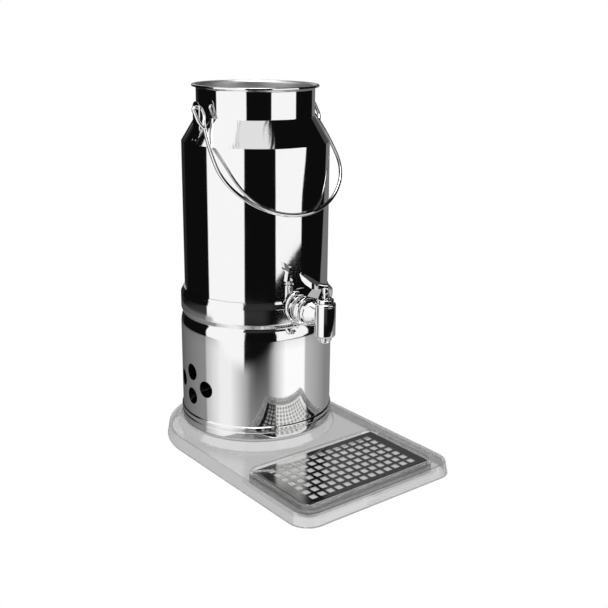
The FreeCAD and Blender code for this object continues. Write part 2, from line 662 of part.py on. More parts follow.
def make_nozzle():
    nozzle = spin_on_spout_axis([
        (OUTLET_RADIUS, NOZZLE_BOTTOM, 0.3),
        (NOZZLE_RADIUS - 0.4, NOZZLE_BOTTOM, 0.6),
        (NOZZLE_RADIUS, NOZZLE_GRIP_LOW, 0),
        (NOZZLE_GRIP_RADIUS, NOZZLE_GRIP_LOW, 0.4),
        (NOZZLE_GRIP_RADIUS, SPOUT_BOTTOM, 0.4),
        (NOZZLE_SPIGOT_RADIUS, SPOUT_BOTTOM, 0),
        (NOZZLE_SPIGOT_RADIUS, NOZZLE_SPIGOT_TOP, 0),
        (OUTLET_RADIUS, NOZZLE_SPIGOT_TOP, 0),
    ])
    grooves = []
    for tooth in range(NOZZLE_GRIP_TEETH):
        angle = 2 * math.pi * tooth / NOZZLE_GRIP_TEETH
        groove = upright(0.6, NOZZLE_GRIP_LOW - 1, SPOUT_BOTTOM - 0.6, SPOUT_OUT)
        groove.translate(V(math.cos(angle), math.sin(angle), 0) * (NOZZLE_GRIP_RADIUS + 0.1))
        grooves.append(groove)
    return nozzle.cut(Part.makeCompound(grooves))


def make_bonnet():
    stem_bore = STEM_RADIUS + RUNNING_FIT
    bonnet = spin_on_spout_axis([
        (stem_bore, BONNET_PLUG_LOW, 0),
        (BONNET_PLUG_RADIUS, BONNET_PLUG_LOW, 0.4),
        (BONNET_PLUG_RADIUS, SPOUT_TOP, 0),
        (SPOUT_RADIUS, SPOUT_TOP, 0.3),
        (SPOUT_RADIUS, BONNET_TOP - 0.6, 1.6),
        (SPOUT_RADIUS - 3.6, BONNET_TOP, 0.6),
        (BONNET_HUB_RADIUS, BONNET_TOP, 0),
        (BONNET_HUB_RADIUS, BONNET_HUB_TOP, 0.3),
        (stem_bore, BONNET_HUB_TOP, 0),
    ])
    groove = spin_on_spout_axis([
        (STEM_RADIUS, RING_GROOVE_MIDDLE - 1.4, 0),
        (STEM_RADIUS + 2.6, RING_GROOVE_MIDDLE - 1.4, 0),
        (STEM_RADIUS + 2.6, RING_GROOVE_MIDDLE + 1.4, 0),
        (STEM_RADIUS, RING_GROOVE_MIDDLE + 1.4, 0),
    ])
    return bonnet.cut(groove)


def make_stem_o_ring():
    middle = STEM_RADIUS + RUNNING_FIT + RING_SECTION_RADIUS
    return Part.makeTorus(middle, RING_SECTION_RADIUS, V(0, -SPOUT_OUT, RING_GROOVE_MIDDLE), Z_AXIS)


def make_swivel_ring():
    bore = BONNET_HUB_RADIUS + RUNNING_FIT
    return spin_on_spout_axis([
        (bore, SWIVEL_LOW, 0),
        (SWIVEL_RADIUS, SWIVEL_LOW, 0.5),
        (SWIVEL_RADIUS, SWIVEL_TOP, 0.9),
        (bore, SWIVEL_TOP, 0),
    ])


def towards_lever(solid):
    """Turns a piece laid out along +X to the direction of the lever, on the spout's axis."""
    solid.rotate(ORIGIN, Z_AXIS, LEVER_DIRECTION_DEG)
    solid.translate(V(0, -SPOUT_OUT, 0))
    return solid


def make_stem():
    stem = spin([
        (0, STEM_HEAD_LOW, 0),
        (STEM_HEAD_RADIUS, STEM_HEAD_LOW, 0.4),
        (STEM_HEAD_RADIUS, STEM_HEAD_TOP, 0.4),
        (STEM_RADIUS, STEM_HEAD_TOP, 0),
        (STEM_RADIUS, STEM_COLLAR_LOW, 0),
        (STEM_WAIST_RADIUS, STEM_COLLAR_LOW + 0.4, 0.3),
        (STEM_WAIST_RADIUS, STEM_BEAD_LOW, 0.3),
        (STEM_TOP_RADIUS, STEM_BEAD_LOW + 0.2, 0.3),
        (STEM_TOP_RADIUS, STEM_BEAD_HIGH, 0.3),
        (STEM_WAIST_RADIUS, STEM_BEAD_HIGH + 0.4, 0.2),
        (STEM_TOP_RADIUS, STEM_BEAD_HIGH + 0.9, 0.2),
        (STEM_TOP_RADIUS, STEM_TOP, 2.0),
        (0, STEM_TOP, 0),
    ])
    flat = Part.makeBox(20, 10, 12, V(-10, -STEM_FLAT_OFFSET - 10, STEM_BEAD_LOW))
    reach = LEVER_CHEEK_OUTER + LEVER_PIN_DEPTH + 0.2
    pin_hole = Part.makeCylinder(LEVER_PIN_RADIUS + RUNNING_FIT, reach,
                                 V(0, -LEVER_CHEEK_OUTER, LEVER_PIN_HEIGHT), Y_AXIS)
    return towards_lever(stem.cut(flat).cut(pin_hole))


def make_valve_seal():
    return spin_on_spout_axis([
        (0, VALVE_SEAT_HEIGHT, 0),
        (VALVE_SEAL_RADIUS, VALVE_SEAT_HEIGHT, 0.5),
        (VALVE_SEAL_RADIUS, STEM_HEAD_LOW, 0.5),
        (0, STEM_HEAD_LOW, 0),
    ])


def make_return_spring():
    low = STEM_HEAD_TOP + SPRING_WIRE_RADIUS + 0.05
    high = BONNET_PLUG_LOW - SPRING_WIRE_RADIUS - 0.05
    helix = Part.makeHelix((high - low) / SPRING_TURNS, high - low, SPRING_RADIUS)
    section = Part.Wire(Part.makeCircle(SPRING_WIRE_RADIUS, V(SPRING_RADIUS, 0, 0), Y_AXIS))
    coil = Part.Wire(helix).makePipeShell([section], True, True)
    coil.rotate(ORIGIN, Z_AXIS, 90)
    coil.translate(V(0, -SPOUT_OUT, low))
    return coil


def side_slab(corners, low_y, high_y):
    """Slab between two y values whose side view is given by (x, height, rounding) corners."""
    slab = Part.Face(rounded_outline(corners)).extrude(V(0, high_y - low_y, 0))
    slab.translate(V(0, low_y, 0))
    return slab


def make_lever():
    """Hood hooked over the stem from one side, a thick leaf-shaped paddle and a heel underneath."""
    cheek = -LEVER_CHEEK_OUTER
    hood = side_slab([
        (-7.2, 206.4, 0.8),
        (-5.3, 206.4, 0.6),
        (-4.8, 209.9, 0),
        (4.5, 209.9, 0),
        (8.0, 204.4, 0.4),
        (12.0, 204.7, 2.0),
        (20.2, 206.5, 0.5),
        (14.6, 215.0, 1.0),
        (12.0, 221.6, 0),
        (3.0, 220.2, 6.0),
        (-3.4, 219.9, 3.6),
        (-7.4, 215.4, 3.6),
    ], cheek, 4.2)
    hood = hood.makeFillet(0.9, [edge for edge in hood.Edges
                                 if edge.BoundBox.YLength < 1e-4 and edge.BoundBox.ZMax > 214.0])
    paddle_side = side_slab([
        (3.0, 212.6, 0),
        (9.0, 214.6, 4.0),
        (16.0, 217.4, 6.0),
        (22.4, 221.0, 5.0),
        (26.2, 224.8, 3.0),
        (28.9, 231.6, 0.5),
        (27.6, 231.7, 0.6),
        (12.0, 221.9, 12.0),
        (3.0, 220.2, 0),
    ], -20, 20)
    outlines = []
    for height, narrower in ((208.0, 2.6), (234.0, 0.0)):
        outline = rounded_outline([
            (1.0, -5.2 + narrower, 0),
            (7.0, -5.8 + narrower, 6.0),
            (13.5, -10.0 + narrower, 7.0),
            (31.0, -2.7 + narrower * 0.4, 1.4),
            (31.0, 2.7 - narrower * 0.4, 1.4),
            (13.5, 10.0 - narrower, 7.0),
            (7.0, 5.0 - narrower, 6.0),
            (1.0, 4.2 - narrower, 0),
        ], "xy")
        outline.translate(V(0, 0, height))
        outlines.append(outline)
    paddle_plan = Part.makeLoft(outlines, True, True)
    draft = Part.makeBox(60, 20, 40, V(-10, 0, -30))
    draft.rotate(ORIGIN, X_AXIS, LEVER_DRAFT_DEG)
    draft.translate(V(0, 4.2, 216.0))
    hood = hood.cut(draft)
    lever = hood.fuse(paddle_side.common(paddle_plan))
    stem_window = side_slab([
        (-4.8, 200.0, 0),
        (-4.8, 218.2, 1.6),
        (4.5, 218.2, 2.0),
        (4.6, 214.0, 0),
        (9.6, 200.0, 0),
    ], -STEM_FLAT_OFFSET - RUNNING_FIT, 20)
    pin_hole = Part.makeCylinder(LEVER_PIN_RADIUS + RUNNING_FIT, 30, V(0, -15, LEVER_PIN_HEIGHT), Y_AXIS)
    cheek_window = side_slab([
        (-4.8, 200.0, 0),
        (-4.8, 209.8, 0),
        (1.2, 209.8, 0),
        (5.6, 211.6, 0),
        (9.6, 200.0, 0),
    ], -20, 20)
    lever = lever.cut(stem_window).cut(cheek_window).cut(pin_hole)
    return towards_lever(lever.removeSplitter())


def make_lever_pin():
    length = LEVER_CHEEK_OUTER + 0.5 + LEVER_PIN_DEPTH
    pin = Part.makeCylinder(LEVER_PIN_RADIUS, length, V(0, -LEVER_CHEEK_OUTER - 0.5, LEVER_PIN_HEIGHT), Y_AXIS)
    pin = pin.makeFillet(0.4, [edge for edge in pin.Edges if edge.BoundBox.YLength < 0.01])
    return towards_lever(pin)


right_ear = make_right_ear()
nodes = {
    "base_tray": make_base_tray(),
    "drip_grid": make_drip_grid(),
    "stand_shell": make_stand_shell(),
    "stand_collar": make_stand_collar(),
    "can_rest_ring": make_can_rest_ring(),
    "can": make_can(),
    "right_ear": right_ear,
    "left_ear": mirrored_left(right_ear),
    "bail_handle": make_bail(),
    "tap_saddle_plate": make_saddle_plate(),
    "tap_outer_seal": make_outer_seal(),
    "tap_inner_seal": make_inner_seal(),
    "tap_lock_nut": make_lock_nut(),
    "tap_ring_nut": make_ring_nut(),
    "tap_body": make_tap_body(),
    "tap_nozzle": make_nozzle(),
    "tap_bonnet": make_bonnet(),
    "stem_o_ring": make_stem_o_ring(),
    "swivel_ring": make_swivel_ring(),
    "tap_stem": make_stem(),
    "valve_seal": make_valve_seal(),
    "return_spring": make_return_spring(),
    "tap_lever": make_lever(),
    "lever_pin": make_lever_pin(),
}

os.makedirs("parts", exist_ok=True)
for name, shape in nodes.items():
    shape.translate(V(0, AXIS_BACK, 0))
    shape.exportStep("parts/" + name + ".step")
    box = shape.BoundBox
    print(name, shape.isValid(), "solids", len(shape.Solids), "volume", round(shape.Volume, 1),
          "box", [round(value, 1) for value in
                  (box.XMin, box.YMin, box.ZMin, box.XMax, box.YMax, box.ZMax)])
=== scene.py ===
import math

import bpy
from mathutils import Matrix, Vector


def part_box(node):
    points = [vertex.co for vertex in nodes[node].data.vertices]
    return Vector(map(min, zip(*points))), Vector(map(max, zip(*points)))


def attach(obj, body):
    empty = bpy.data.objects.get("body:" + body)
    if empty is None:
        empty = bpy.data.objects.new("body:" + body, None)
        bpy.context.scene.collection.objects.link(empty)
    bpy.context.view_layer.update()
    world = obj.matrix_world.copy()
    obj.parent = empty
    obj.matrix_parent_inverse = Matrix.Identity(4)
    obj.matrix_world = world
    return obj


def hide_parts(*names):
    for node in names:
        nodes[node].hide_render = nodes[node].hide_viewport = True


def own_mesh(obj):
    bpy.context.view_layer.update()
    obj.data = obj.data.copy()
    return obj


# Countertop can dispenser: materials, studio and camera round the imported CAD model.
# Metres, in the frame of the CAD model: +Z up, origin on the table under the base tray, tap towards -Y.

UP = Vector((0.0, 0.0, 1.0))

# Camera
CAMERA_AZIMUTH = math.radians(-38.37)
CAMERA_ELEVATION = math.radians(16.775)
CAMERA_ROLL = math.radians(0.662)
CAMERA_DISTANCE = 1.2120
CAMERA_SHIFT_RIGHT = 0.0603
CAMERA_SHIFT_UP = 0.1585
SENSOR_WIDTH = 36.0
LENS = 56.19

# Brightness of the studio
WHITE = 1.0
BLACK = 0.004
PATCH_LIGHT = 0.8
SEAM_LIGHT = 0.05
BEHIND_LIGHT = 0.62
CEILING_LIGHT = 4.0
FLOOR_EDGE_LIGHT = 0.035
TABLE_THROUGH_PLASTIC = 0.72

# Edges of the studio lights in degrees, as seen from the dispenser: azimuth 0 is towards the camera and
# grows to the camera's right
LEFT_BOX = (-77.0, -14.5)
LEFT_UPPER_START = -100.0
LEFT_UPPER_FOOT = 26.0
PATCH_FOOT = 50.0
PATCH_GAP_START = -18.0
RIGHT_BOX_START = 33.0
RIGHT_BOX_END_LOW = 78.0
RIGHT_BOX_END = 86.0
RIGHT_BOX_TOP = 27.0
FAR_RIGHT_START = 143.0
FAR_LEFT_END = -140.0
BEHIND_END = -150.0
CEILING_FOOT = 72.0
FLOOR_EDGE = (-18.2, -16.7)

# Table: a round top whose front edge is straight, 402 mm in front of the can's axis
TABLE_EDGE_AZIMUTH = math.radians(-13.0)
TABLE_EDGE_DISTANCE = 0.402
TABLE_RADIUS = 0.62
TABLE_CORNERS = 96
TABLE_TOP = -0.0004

# Boss of the base tray under the stand, whose top is painted near-black as the stand's shade
BOSS_RADIUS = 0.0888
BOSS_TOP = 0.0275

# Weld spots on the feet of the ears, which lie on the cone of the can
CONE_RUN = 17.9
CONE_RISE = 29.4
WELD_CORNERS = 16
WELD_OFFSET = 0.0032
WELD_INSET = 0.0021
WELD_HEIGHT = 0.0035
WELD_PROFILE = ((0.0, 0.00012), (0.0006, 0.0001), (0.0011, 0.00003), (0.0013, -0.0001))


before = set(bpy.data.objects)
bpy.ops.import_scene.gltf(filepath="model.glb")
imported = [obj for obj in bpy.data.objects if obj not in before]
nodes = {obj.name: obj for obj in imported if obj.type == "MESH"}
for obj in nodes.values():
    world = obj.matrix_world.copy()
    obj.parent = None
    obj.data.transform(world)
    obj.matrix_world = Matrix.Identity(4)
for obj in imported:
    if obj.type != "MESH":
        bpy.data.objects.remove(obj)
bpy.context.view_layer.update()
can_low, can_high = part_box("can")
AXIS = Vector(((can_low.x + can_high.x) / 2, (can_low.y + can_high.y) / 2, 0.0))


# ---------------------------------------------------------------- shader building


class Graph:
    """Small helper round one node tree: values may be numbers or output sockets."""

    def __init__(self, tree):
        self.tree = tree
        tree.nodes.clear()

    def node(self, kind, **settings):
        made = self.tree.nodes.new(kind)
        for key, value in settings.items():
            setattr(made, key, value)
        return made

    def feed(self, socket, value):
        if isinstance(value, bpy.types.NodeSocket):
            self.tree.links.new(value, socket)
        elif value is not None:
            socket.default_value = value

    def math(self, operation, first, second=None, third=None):
        made = self.node("ShaderNodeMath", operation=operation)
        for socket, value in zip(made.inputs, (first, second, third)):
            self.feed(socket, value)
        return made.outputs[0]

    def add(self, *values):
        total = values[0]
        for value in values[1:]:
            total = self.math("ADD", total, value)
        return total

    def times(self, *values):
        total = values[0]
        for value in values[1:]:
            total = self.math("MULTIPLY", total, value)
        return total

    def mix(self, share, first, second):
        made = self.node("ShaderNodeMix", data_type="FLOAT")
        self.feed(made.inputs[0], share)
        self.feed(made.inputs[2], first)
        self.feed(made.inputs[3], second)
        return made.outputs[0]

    def mix_colour(self, share, first, second):
        made = self.node("ShaderNodeMix", data_type="RGBA")
        self.feed(made.inputs[0], share)
        self.feed(made.inputs[6], first)
        self.feed(made.inputs[7], second)
        return made.outputs[2]

    def step(self, value, edge, soft):
        """0 below the edge, 1 above it, with a smooth rise that is 2 * soft wide."""
        made = self.node("ShaderNodeMapRange", interpolation_type="SMOOTHSTEP")
        self.feed(made.inputs["Value"], value)
        self.feed(made.inputs["From Min"], self.math("SUBTRACT", edge, soft))
        self.feed(made.inputs["From Max"], self.math("ADD", edge, soft))
        return made.outputs["Result"]

    def band(self, value, low, high, soft):
        """1 between low and high, 0 outside."""
        rise = self.step(value, low, soft)
        fall = self.step(value, high, soft)
        return self.math("SUBTRACT", rise, fall)

    def ramp(self, value, low, high, first=0.0, last=1.0):
        """Straight ramp from first at low to last at high, flat outside."""
        made = self.node("ShaderNodeMapRange")
        self.feed(made.inputs["Value"], value)
        made.inputs["From Min"].default_value = low
        made.inputs["From Max"].default_value = high
        made.inputs["To Min"].default_value = first
        made.inputs["To Max"].default_value = last
        return made.outputs["Result"]

    def spread(self, value, scale):
        """Vector along one line of a texture, from one value."""
        made = self.node("ShaderNodeCombineXYZ")
        self.feed(made.inputs[0], self.math("MULTIPLY", value, scale))
        return made.outputs[0]

    def inverse(self, value):
        return self.math("SUBTRACT", 1.0, value)

    def shift(self, vector, offset):
        made = self.node("ShaderNodeVectorMath", operation="ADD")
        self.feed(made.inputs[0], vector)
        made.inputs[1].default_value = offset
        return made.outputs[0]

    def length(self, vector):
        made = self.node("ShaderNodeVectorMath", operation="LENGTH")
        self.feed(made.inputs[0], vector)
        return made.outputs["Value"]

    def noise(self, vector, scale, detail=2.0, roughness=0.5, distortion=0.0):
        made = self.node("ShaderNodeTexNoise")
        self.feed(made.inputs["Vector"], vector)
        made.inputs["Scale"].default_value = scale
        made.inputs["Detail"].default_value = detail
        made.inputs["Roughness"].default_value = roughness
        made.inputs["Distortion"].default_value = distortion
        return made.outputs["Fac"]

    def stretch(self, vector, scale):
        made = self.node("ShaderNodeVectorMath", operation="MULTIPLY")
        self.feed(made.inputs[0], vector)
        made.inputs[1].default_value = scale
        return made.outputs[0]

    def dot(self, vector, direction):
        made = self.node("ShaderNodeVectorMath", operation="DOT_PRODUCT")
        self.feed(made.inputs[0], vector)
        made.inputs[1].default_value = direction
        return made.outputs["Value"]

    def bump(self, height, strength, distance):
        made = self.node("ShaderNodeBump")
        self.feed(made.inputs["Height"], height)
        made.inputs["Strength"].default_value = strength
        made.inputs["Distance"].default_value = distance
        return made.outputs["Normal"]


# ---------------------------------------------------------------- studio

TOWARDS_CAMERA = Vector((math.sin(CAMERA_AZIMUTH), -math.cos(CAMERA_AZIMUTH), 0.0))
CAMERA_RIGHT = Vector((math.cos(CAMERA_AZIMUTH), math.sin(CAMERA_AZIMUTH), 0.0))


def azimuth_and_elevation(graph, direction):
    """Degrees of azimuth and elevation of a direction that points away from the dispenser."""
    across = graph.dot(direction, CAMERA_RIGHT)
    ahead = graph.dot(direction, TOWARDS_CAMERA)
    up = graph.dot(direction, UP)
    azimuth = graph.math("DEGREES", graph.math("ARCTAN2", across, ahead))
    elevation = graph.math("DEGREES", graph.math("ARCSINE", up))
    return azimuth, elevation


def between(graph, value, low, high, soft_low, soft_high):
    """1 between two edges that may be numbers or sockets and may differ in softness."""
    return graph.times(graph.step(value, low, soft_low), graph.inverse(graph.step(value, high, soft_high)))


def left_light(graph, azimuth, elevation, slant):
    """Tall soft box on the left; over it an upper one with a crumpled grey patch and a dark seam."""
    left_edge = graph.math("MULTIPLY_ADD", slant, 0.1, LEFT_BOX[1])
    lower = between(graph, azimuth, LEFT_BOX[0], left_edge, 1.0, 1.0)
    high = graph.step(elevation, LEFT_UPPER_FOOT, 3.0)
    ragged = graph.noise(graph.spread(elevation, 1.4), 1.0, 3.0, 0.7)
    top_edge = graph.math("MULTIPLY_ADD", ragged, 130.0, -30.0)
    seam_edge = graph.math("MULTIPLY_ADD", ragged, -80.0, 2.0)
    upper = between(graph, azimuth, LEFT_UPPER_START, top_edge, 2.0, 1.0)
    patch = graph.mix(graph.step(azimuth, seam_edge, 1.0), 1.0, PATCH_LIGHT)
    gap = graph.ramp(graph.step(azimuth, PATCH_GAP_START, 1.0), 0.0, 1.0, 1.0, 0.03)
    upper = graph.times(upper, graph.mix(graph.step(elevation, PATCH_FOOT, 2.0), gap, patch))
    seam = graph.times(
        graph.band(azimuth, graph.add(seam_edge, -1.2), graph.add(seam_edge, 0.6), 0.6),
        graph.step(elevation, 38.0, 3.0),
    )
    upper = graph.times(upper, graph.mix(seam, 1.0, SEAM_LIGHT))
    return graph.mix(high, lower, upper)


def right_light(graph, azimuth, elevation, slant):
    """Narrower soft box on the right, whose foot rises to the far side."""
    start = graph.math("MULTIPLY_ADD", slant, -0.1, RIGHT_BOX_START)
    end = graph.mix(graph.step(elevation, -9.0, 2.0), RIGHT_BOX_END_LOW, RIGHT_BOX_END)
    foot = graph.ramp(azimuth, 34.0, 80.0, -15.4, -13.0)
    across = between(graph, azimuth, start, end, 1.0, 1.0)
    return graph.times(across, between(graph, elevation, foot, RIGHT_BOX_TOP, 0.06, 0.6))


def studio_light(graph, azimuth, elevation):
    """Brightness of the room: tall soft boxes left and right, black flags between them, dim walls."""
    slant = graph.math("MINIMUM", graph.math("ADD", elevation, 8.0), 0.0)
    left = left_light(graph, azimuth, elevation, slant)
    right = right_light(graph, azimuth, elevation, slant)
    far_edge = graph.math("MULTIPLY_ADD", slant, 2.1, FAR_RIGHT_START)
    far_right = graph.times(
        graph.step(azimuth, far_edge, 1.5),
        graph.mix(graph.step(elevation, 4.0, 3.0), 0.17, 0.06),
    )
    far_left = graph.times(graph.inverse(graph.step(azimuth, FAR_LEFT_END, 2.0)), 0.02)
    behind = graph.times(
        graph.band(elevation, 8.0, 34.0, 3.0),
        graph.inverse(graph.step(azimuth, BEHIND_END, 2.0)),
        BEHIND_LIGHT,
    )
    ceiling = graph.times(graph.step(elevation, CEILING_FOOT, 4.0), CEILING_LIGHT)
    floor_edge = graph.times(
        graph.band(elevation, FLOOR_EDGE[0], FLOOR_EDGE[1], 0.15),
        graph.band(azimuth, -160.0, 20.0, 10.0),
        FLOOR_EDGE_LIGHT,
    )
    total = graph.math("MAXIMUM", left, right)
    for part in (far_right, far_left, behind, ceiling, floor_edge, BLACK):
        total = graph.math("MAXIMUM", total, part)
    return total


def build_world():
    world = bpy.data.worlds.new("studio_world")
    bpy.context.scene.world = world
    world.use_nodes = True
    graph = Graph(world.node_tree)
    direction = graph.node("ShaderNodeTexCoord").outputs["Generated"]
    azimuth, elevation = azimuth_and_elevation(graph, direction)
    room = studio_light(graph, azimuth, elevation)
    seen = graph.node("ShaderNodeLightPath").outputs["Is Camera Ray"]
    background = graph.node("ShaderNodeBackground")
    graph.feed(background.inputs["Color"], (1.0, 1.0, 1.0, 1.0))
    graph.feed(background.inputs["Strength"], graph.mix(seen, room, WHITE))
    output = graph.node("ShaderNodeOutputWorld")
    graph.feed(output.inputs["Surface"], background.outputs[0])


def table_material():
    """White for the camera; mirrors see the glow of the soft boxes on it, and the room past its edge."""
    material = bpy.data.materials.new("white_table")
    material.use_nodes = True
    graph = Graph(material.node_tree)
    geometry = graph.node("ShaderNodeNewGeometry")
    incoming = graph.stretch(geometry.outputs["Incoming"], (-1.0, -1.0, -1.0))
    azimuth, elevation = azimuth_and_elevation(graph, incoming)
    room = studio_light(graph, azimuth, elevation)
    glow = graph.add(
        graph.ramp(azimuth, -150.0, -88.0, 0.12, 0.26),
        graph.times(graph.step(azimuth, -80.0, 2.0), graph.ramp(azimuth, -78.0, -53.0, 0.3, 0.66)),
        graph.ramp(azimuth, -38.0, -6.0, 0.0, -0.66),
        graph.ramp(azimuth, 20.0, 48.0, 0.0, 0.8),
        graph.times(graph.step(azimuth, 82.0, 2.0), -0.55),
        graph.ramp(azimuth, 84.0, 135.0, 0.0, -0.27),
    )
    edge_normal = TOWARDS_CAMERA * math.cos(TABLE_EDGE_AZIMUTH)
    edge_normal += CAMERA_RIGHT * math.sin(TABLE_EDGE_AZIMUTH)
    centred = graph.shift(geometry.outputs["Position"], -AXIS)
    glow = graph.times(glow, graph.ramp(graph.length(centred), 0.46, 0.60, 1.0, 0.6))
    reach = graph.dot(centred, edge_normal)
    beyond = graph.step(reach, TABLE_EDGE_DISTANCE, 0.04)
    shade = graph.times(
        graph.band(azimuth, -4.0, 24.0, 10.0),
        graph.ramp(reach, 0.16, 0.38, 0.0, 0.75),
    )
    glow = graph.times(glow, graph.inverse(shade))
    mirrored = graph.mix(beyond, glow, room)
    path = graph.node("ShaderNodeLightPath")
    through = path.outputs["Is Transmission Ray"]
    seen = path.outputs["Is Camera Ray"]
    other = graph.mix(through, mirrored, TABLE_THROUGH_PLASTIC)
    emission = graph.node("ShaderNodeEmission")
    graph.feed(emission.inputs["Strength"], graph.mix(seen, other, WHITE))
    output = graph.node("ShaderNodeOutputMaterial")
    graph.feed(output.inputs["Surface"], emission.outputs[0])
    return material


def build_table():
    mesh = bpy.data.meshes.new("table")
    rim = []
    for corner in range(TABLE_CORNERS):
        angle = math.tau * corner / TABLE_CORNERS
        across = TABLE_RADIUS * math.cos(angle) + AXIS.x
        ahead = TABLE_RADIUS * math.sin(angle) + AXIS.y
        rim.append((across, ahead, TABLE_TOP))
    mesh.from_pydata(rim, [], [tuple(range(TABLE_CORNERS))])
    table = bpy.data.objects.new("table", mesh)
    bpy.context.scene.collection.objects.link(table)
    table.data.materials.append(table_material())


# ---------------------------------------------------------------- materials


def scaled(colour, share):
    return tuple(channel * share for channel in colour) + (1.0,)


def surface(name):
    """A new material with its graph, its Principled shader and the place of a point from the can's axis."""
    material = bpy.data.materials.new(name)
    material.use_nodes = True
    graph = Graph(material.node_tree)
    shader = graph.node("ShaderNodeBsdfPrincipled")
    output = graph.node("ShaderNodeOutputMaterial")
    graph.feed(output.inputs["Surface"], shader.outputs[0])
    place = graph.shift(graph.node("ShaderNodeTexCoord").outputs["Object"], -AXIS)
    return material, graph, shader, place


def facing_axis(graph, place):
    """1 on the faces of a round sheet that look inwards, towards the can's axis."""
    normal = graph.node("ShaderNodeNewGeometry").outputs["True Normal"]
    flat = graph.stretch(place, (1.0, 1.0, 0.0))
    product = graph.node("ShaderNodeVectorMath", operation="DOT_PRODUCT")
    graph.feed(product.inputs[0], normal)
    graph.feed(product.inputs[1], flat)
    return graph.inverse(graph.step(product.outputs["Value"], 0.0, 0.0005))


def metal(name, colour, roughness, wave, streaks, smudges):
    """Bare or plated metal: slow waviness, fine rounds from polishing, faint smudges that dull the shine."""
    material, graph, shader, place = surface(name)
    shader.inputs["Metallic"].default_value = 1.0
    broad = graph.noise(place, 14.0, 1.0)
    fine = graph.noise(place, 70.0, 2.0)
    rounds = graph.noise(graph.stretch(place, (6.0, 6.0, 900.0)), 1.0, 2.0)
    cloud = graph.noise(graph.stretch(place, (1.0, 1.0, 0.5)), 38.0, 4.0, 0.6, 0.6)
    speck = graph.math("POWER", graph.noise(place, 640.0, 2.0, 0.5), 6.0)
    tint = graph.mix_colour(
        graph.times(cloud, 0.5),
        (*colour, 1.0),
        (colour[0] * 0.95, colour[1] * 0.95, colour[2] * 0.94, 1.0),
    )
    tint = graph.mix_colour(graph.times(speck, 0.5), tint, scaled(colour, 0.6))
    graph.feed(shader.inputs["Base Color"], tint)
    dull = graph.add(roughness, graph.times(cloud, cloud, smudges), graph.times(rounds, streaks))
    graph.feed(shader.inputs["Roughness"], dull)
    height = graph.add(broad, graph.times(fine, 0.08), graph.times(rounds, streaks * 0.4))
    graph.feed(shader.inputs["Normal"], graph.bump(height, 1.0, wave))
    return material, graph, shader, place


def inside_differs(graph, shader, inside, colour, roughness):
    """The faces towards the axis take another colour and roughness than the metal's own."""
    own_colour = shader.inputs["Base Color"].links[0].from_socket
    own_roughness = shader.inputs["Roughness"].links[0].from_socket
    graph.feed(shader.inputs["Base Color"], graph.mix_colour(inside, own_colour, colour))
    graph.feed(shader.inputs["Roughness"], graph.mix(inside, own_roughness, roughness))


def polished_steel():
    return metal("polished_steel", (0.93, 0.93, 0.93), 0.02, 0.00012, 0.03, 0.08)[0]


def stand_steel():
    """Polished outside; on the inside a dull near-black with a faint random mottle, painted shade of the
    closed drum, which is seen only through the vents.
    """
    material, graph, shader, place = metal("stand_steel", (0.93, 0.93, 0.93), 0.02, 0.00012, 0.03, 0.08)
    inside = facing_axis(graph, place)
    # Painted shade: the inner faces are coloured near-black and less metallic because little light reaches
    # them; the noise only varies that painted shade.
    painted_shade_mottle = graph.noise(place, 120.0, 3.0)
    dark = graph.mix_colour(painted_shade_mottle, (0.008, 0.008, 0.008, 1.0), (0.02, 0.02, 0.02, 1.0))
    inside_differs(graph, shader, inside, dark, 0.6)
    graph.feed(shader.inputs["Metallic"], graph.mix(inside, 1.0, 0.3))
    return material


def can_steel():
    """Polished outside, satin inside with faint brushed rounds; the inside is coloured darker further down
    as painted shade.
    """
    material, graph, shader, place = metal("can_steel", (0.93, 0.93, 0.93), 0.015, 0.0001, 0.02, 0.06)
    inside = facing_axis(graph, place)
    height = graph.dot(place, UP)
    # Painted shade: the inner wall's grey falls from 0.92 near the rim to 0.6 lower down, where less light
    # reaches.
    shade = graph.ramp(height, 0.395, 0.427, 0.6, 0.92)
    brushed = graph.noise(graph.stretch(place, (3.0, 3.0, 1500.0)), 1.0, 2.0)
    shade = graph.times(shade, graph.mix(brushed, 0.93, 1.05))
    tone = graph.node("ShaderNodeCombineColor")
    for channel in tone.inputs:
        graph.feed(channel, shade)
    inside_differs(graph, shader, inside, tone.outputs[0], 0.42)
    return material


def chrome_plate():
    return metal("chrome_plate", (0.95, 0.95, 0.955), 0.012, 0.0003, 0.01, 0.04)[0]


def satin_steel():
    return metal("satin_steel", (0.86, 0.86, 0.85), 0.07, 0.0001, 0.05, 0.12)[0]


